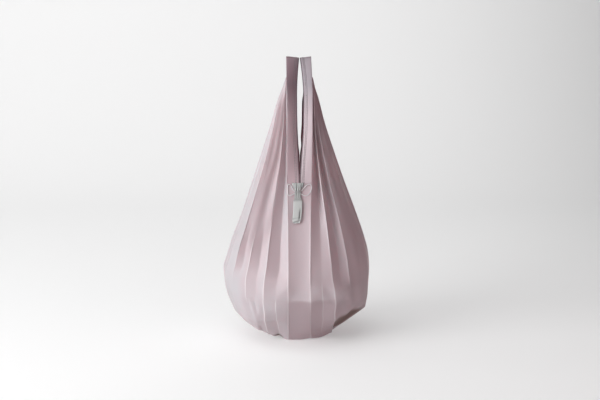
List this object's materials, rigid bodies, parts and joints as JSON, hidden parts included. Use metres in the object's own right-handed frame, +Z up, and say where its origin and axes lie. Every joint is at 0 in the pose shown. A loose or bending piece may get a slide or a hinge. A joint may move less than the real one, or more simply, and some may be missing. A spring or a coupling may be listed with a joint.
{
  "type": "foldable shopping bag",
  "caption": "Drop-shaped bag of thin pleated cloth that stands on its base, open at the top between flat strap handles, with a ribbon tab and elastic loops at the foot of its mouth.",
  "frame": {"origin": "middle of the flat base that the bag stands on, below the handles' top fold", "axes": "+Z up to the handles, -Y to the front with the ribbon tab, +X to the right seen from the front"},
  "size_m": [0.2835, 0.278, 0.541],
  "materials": {
    "pleated_cloth": "thin mauve polyester, pleated, with a soft sheen",
    "handle_cloth": "folded and stitched mauve polyester",
    "tab_ribbon": "pale grey woven ribbon, satin",
    "elastic": "thin grey covered elastic"
  },
  "bodies": {
    "root": {"pleated_body": "pleated_cloth", "handle_left": "handle_cloth", "handle_right": "handle_cloth", "ribbon_tab": "tab_ribbon", "elastic_loop_left": "elastic", "elastic_loop_right": "elastic"}
  },
  "joints": []
}
